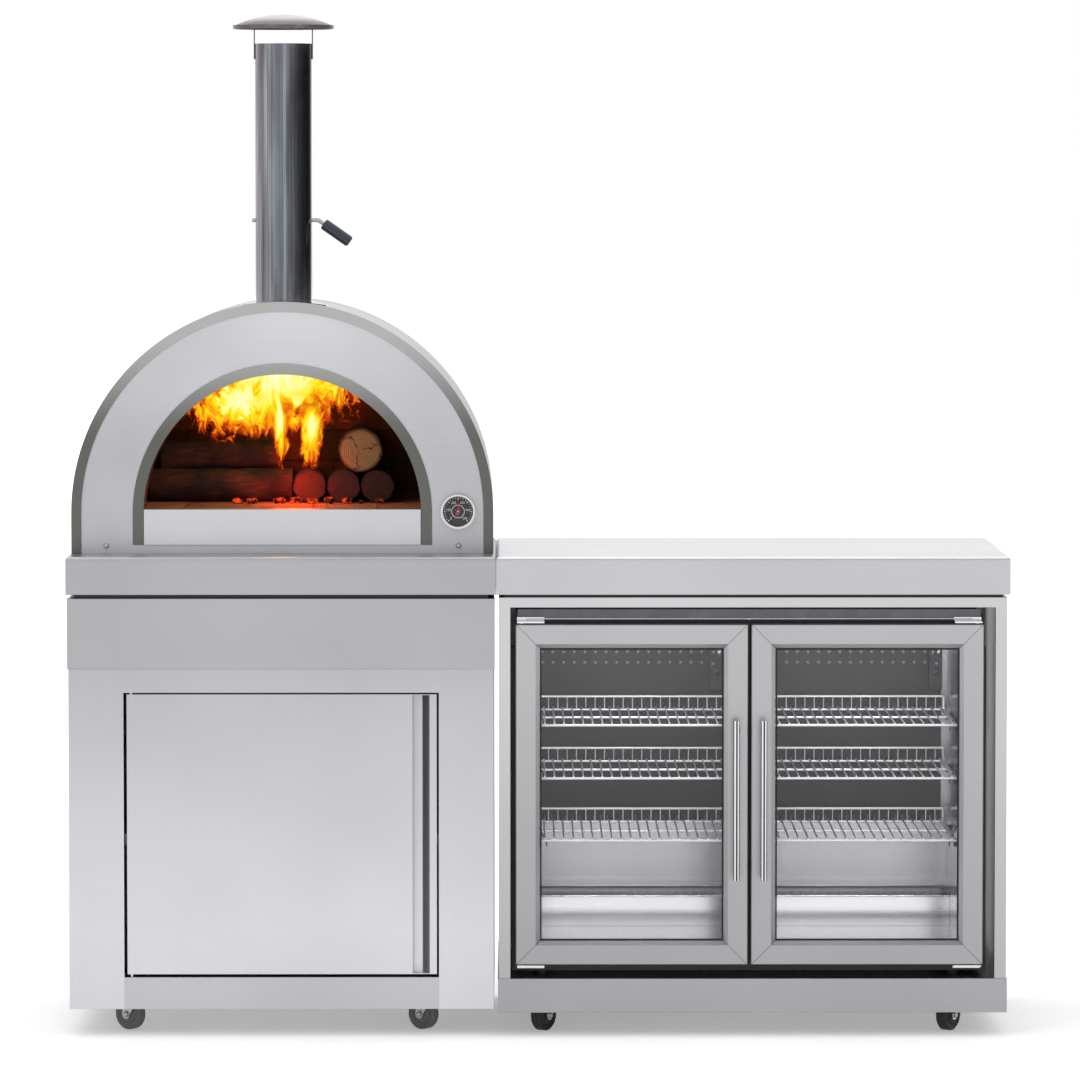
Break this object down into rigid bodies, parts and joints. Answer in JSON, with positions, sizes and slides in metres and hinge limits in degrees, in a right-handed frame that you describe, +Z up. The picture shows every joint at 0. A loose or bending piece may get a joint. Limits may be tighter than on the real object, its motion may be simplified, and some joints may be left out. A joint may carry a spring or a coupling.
{
  "type": "outdoor kitchen",
  "caption": "Stainless outdoor kitchen on casters: a wood-fired oven with a flue on a one-door cabinet, beside a bench with a glass-door bar fridge.",
  "frame": {"origin": "on the floor under the middle of the kitchen's overall box", "axes": "+X to the right seen from the front, -Y out of the front, +Z up"},
  "size_m": [1.8, 0.628, 1.954],
  "materials": {
    "bench_steel": "fine brushed stainless sheet",
    "panel_steel": "vertically brushed stainless sheet",
    "oven_steel": "satin stainless sheet",
    "trim_steel": "bright edged stainless trim",
    "door_steel": "brushed stainless door profile",
    "polished_steel": "mirror polished stainless",
    "chromed_wire": "bright chromed steel",
    "zinc_steel": "zinc plated pressed steel",
    "black_coat": "black powder coat",
    "firebrick": "sooted firebrick",
    "hearth": "ash dusted firebrick",
    "blanket": "light mineral insulation",
    "wood": "split firewood, charred",
    "needle_paint": "red paint",
    "clear_glass": "clear toughened glass",
    "grip_plastic": "dark moulded plastic",
    "grey_plastic": "grey moulded plastic",
    "gasket_rubber": "soft black magnetic gasket",
    "grey_tyre": "grey thermoplastic tread",
    "black_tyre": "black thermoplastic tread"
  },
  "bodies": {
    "kitchen": {"oven_bench": "bench_steel", "fridge_bench": "bench_steel", "bench_bearers": "black_coat", "oven_cabinet_panels": "panel_steel", "oven_cabinet_base": "panel_steel", "oven_cabinet_frame": "panel_steel", "apron_panel": "panel_steel", "cabinet_shelf": "panel_steel", "oven_shell": "oven_steel", "oven_back": "oven_steel", "oven_face": "oven_steel", "face_trim": "trim_steel", "mouth_collar": "trim_steel", "threshold_panel": "oven_steel", "oven_vault": "firebrick", "oven_insulation": "blanket", "hearth_bricks": "hearth", "firewood": "wood", "thermometer_case": "polished_steel", "thermometer_lens": "clear_glass", "flue_lower": "polished_steel", "flue_upper": "polished_steel", "flue_cap": "polished_steel", "fridge_bench_frame": "panel_steel", "fridge_bench_base": "panel_steel", "fridge_case": "black_coat", "fan_covers": "grey_plastic", "wire_shelves": "chromed_wire", "shelf_clips": "grip_plastic", "door_hinges": "chromed_wire", "caster_plates": "zinc_steel"},
    "cabinet_door_leaf": {"cabinet_door": "panel_steel", "cabinet_door_liner": "panel_steel"},
    "left_fridge_door": {"left_door_frame": "door_steel", "left_door_glass": "clear_glass", "left_door_gasket": "gasket_rubber", "left_door_handle": "chromed_wire"},
    "right_fridge_door": {"right_door_frame": "door_steel", "right_door_glass": "clear_glass", "right_door_gasket": "gasket_rubber", "right_door_handle": "chromed_wire"},
    "damper": {"damper_plate": "polished_steel", "damper_grip": "grip_plastic"},
    "needle": {"thermometer_needle": "needle_paint"},
    "fork_1": {"caster_fork_1": "zinc_steel"},
    "fork_2": {"caster_fork_2": "zinc_steel"},
    "fork_3": {"caster_fork_3": "zinc_steel"},
    "fork_4": {"caster_fork_4": "zinc_steel"},
    "fork_5": {"caster_fork_5": "zinc_steel"},
    "fork_6": {"caster_fork_6": "zinc_steel"},
    "fork_7": {"caster_fork_7": "zinc_steel"},
    "fork_8": {"caster_fork_8": "zinc_steel"},
    "wheel_1": {"caster_wheel_1": "grey_tyre"},
    "wheel_2": {"caster_wheel_2": "grey_tyre"},
    "wheel_3": {"caster_wheel_3": "grey_tyre"},
    "wheel_4": {"caster_wheel_4": "grey_tyre"},
    "wheel_5": {"caster_wheel_5": "black_tyre"},
    "wheel_6": {"caster_wheel_6": "black_tyre"},
    "wheel_7": {"caster_wheel_7": "black_tyre"},
    "wheel_8": {"caster_wheel_8": "black_tyre"}
  },
  "joints": [
    {"name": "cabinet_door_hinge", "type": "hinge", "parent": "kitchen", "child": "cabinet_door_leaf", "pos_m": [-0.777, -0.268, 0.3885], "axis": [0, 0, -1], "range_deg": [0, 110]},
    {"name": "left_fridge_hinge", "type": "hinge", "parent": "kitchen", "child": "left_fridge_door", "pos_m": [-0.031, -0.262, 0.464], "axis": [0, 0, -1], "range_deg": [0, 105]},
    {"name": "right_fridge_hinge", "type": "hinge", "parent": "kitchen", "child": "right_fridge_door", "pos_m": [0.839, -0.262, 0.464], "axis": [0, 0, 1], "range_deg": [0, 105]},
    {"name": "damper_turn", "type": "hinge", "parent": "kitchen", "child": "damper", "pos_m": [-0.49025, -0.061, 1.558], "axis": [-1, 0, 0], "range_deg": [0, 90]},
    {"name": "needle_turn", "type": "hinge", "parent": "kitchen", "child": "needle", "pos_m": [-0.15325, -0.187, 1.001], "axis": [0, 1, 0], "range_deg": [-150, 120]},
    {"name": "swivel_1", "type": "hinge", "parent": "kitchen", "child": "fork_1", "pos_m": [-0.773, -0.176, 0.074], "axis": [0, 0, 1], "continuous": true},
    {"name": "roll_1", "type": "hinge", "parent": "fork_1", "child": "wheel_1", "pos_m": [-0.78611, -0.16682, 0.03], "axis": [-0.5736, -0.8192, 0], "continuous": true},
    {"name": "swivel_2", "type": "hinge", "parent": "kitchen", "child": "fork_2", "pos_m": [-0.2075, -0.176, 0.074], "axis": [0, 0, 1], "continuous": true},
    {"name": "roll_2", "type": "hinge", "parent": "fork_2", "child": "wheel_2", "pos_m": [-0.22061, -0.16682, 0.03], "axis": [-0.5736, -0.8192, 0], "continuous": true},
    {"name": "swivel_3", "type": "hinge", "parent": "kitchen", "child": "fork_3", "pos_m": [-0.773, 0.204, 0.074], "axis": [0, 0, 1], "continuous": true},
    {"name": "roll_3", "type": "hinge", "parent": "fork_3", "child": "wheel_3", "pos_m": [-0.78611, 0.21318, 0.03], "axis": [-0.5736, -0.8192, 0], "continuous": true},
    {"name": "swivel_4", "type": "hinge", "parent": "kitchen", "child": "fork_4", "pos_m": [-0.2075, 0.204, 0.074], "axis": [0, 0, 1], "continuous": true},
    {"name": "roll_4", "type": "hinge", "parent": "fork_4", "child": "wheel_4", "pos_m": [-0.22061, 0.21318, 0.03], "axis": [-0.5736, -0.8192, 0], "continuous": true},
    {"name": "swivel_5", "type": "hinge", "parent": "kitchen", "child": "fork_5", "pos_m": [0.02, -0.176, 0.074], "axis": [0, 0, 1], "continuous": true},
    {"name": "roll_5", "type": "hinge", "parent": "fork_5", "child": "wheel_5", "pos_m": [0.01082, -0.18911, 0.03], "axis": [0.8192, -0.5736, 0], "continuous": true},
    {"name": "swivel_6", "type": "hinge", "parent": "kitchen", "child": "fork_6", "pos_m": [0.8, -0.176, 0.074], "axis": [0, 0, 1], "continuous": true},
    {"name": "roll_6", "type": "hinge", "parent": "fork_6", "child": "wheel_6", "pos_m": [0.79082, -0.18911, 0.03], "axis": [0.8192, -0.5736, 0], "continuous": true},
    {"name": "swivel_7", "type": "hinge", "parent": "kitchen", "child": "fork_7", "pos_m": [0.02, 0.204, 0.074], "axis": [0, 0, 1], "continuous": true},
    {"name": "roll_7", "type": "hinge", "parent": "fork_7", "child": "wheel_7", "pos_m": [0.01082, 0.19089, 0.03], "axis": [0.8192, -0.5736, 0], "continuous": true},
    {"name": "swivel_8", "type": "hinge", "parent": "kitchen", "child": "fork_8", "pos_m": [0.8, 0.204, 0.074], "axis": [0, 0, 1], "continuous": true},
    {"name": "roll_8", "type": "hinge", "parent": "fork_8", "child": "wheel_8", "pos_m": [0.79082, 0.19089, 0.03], "axis": [0.8192, -0.5736, 0], "continuous": true}
  ]
}
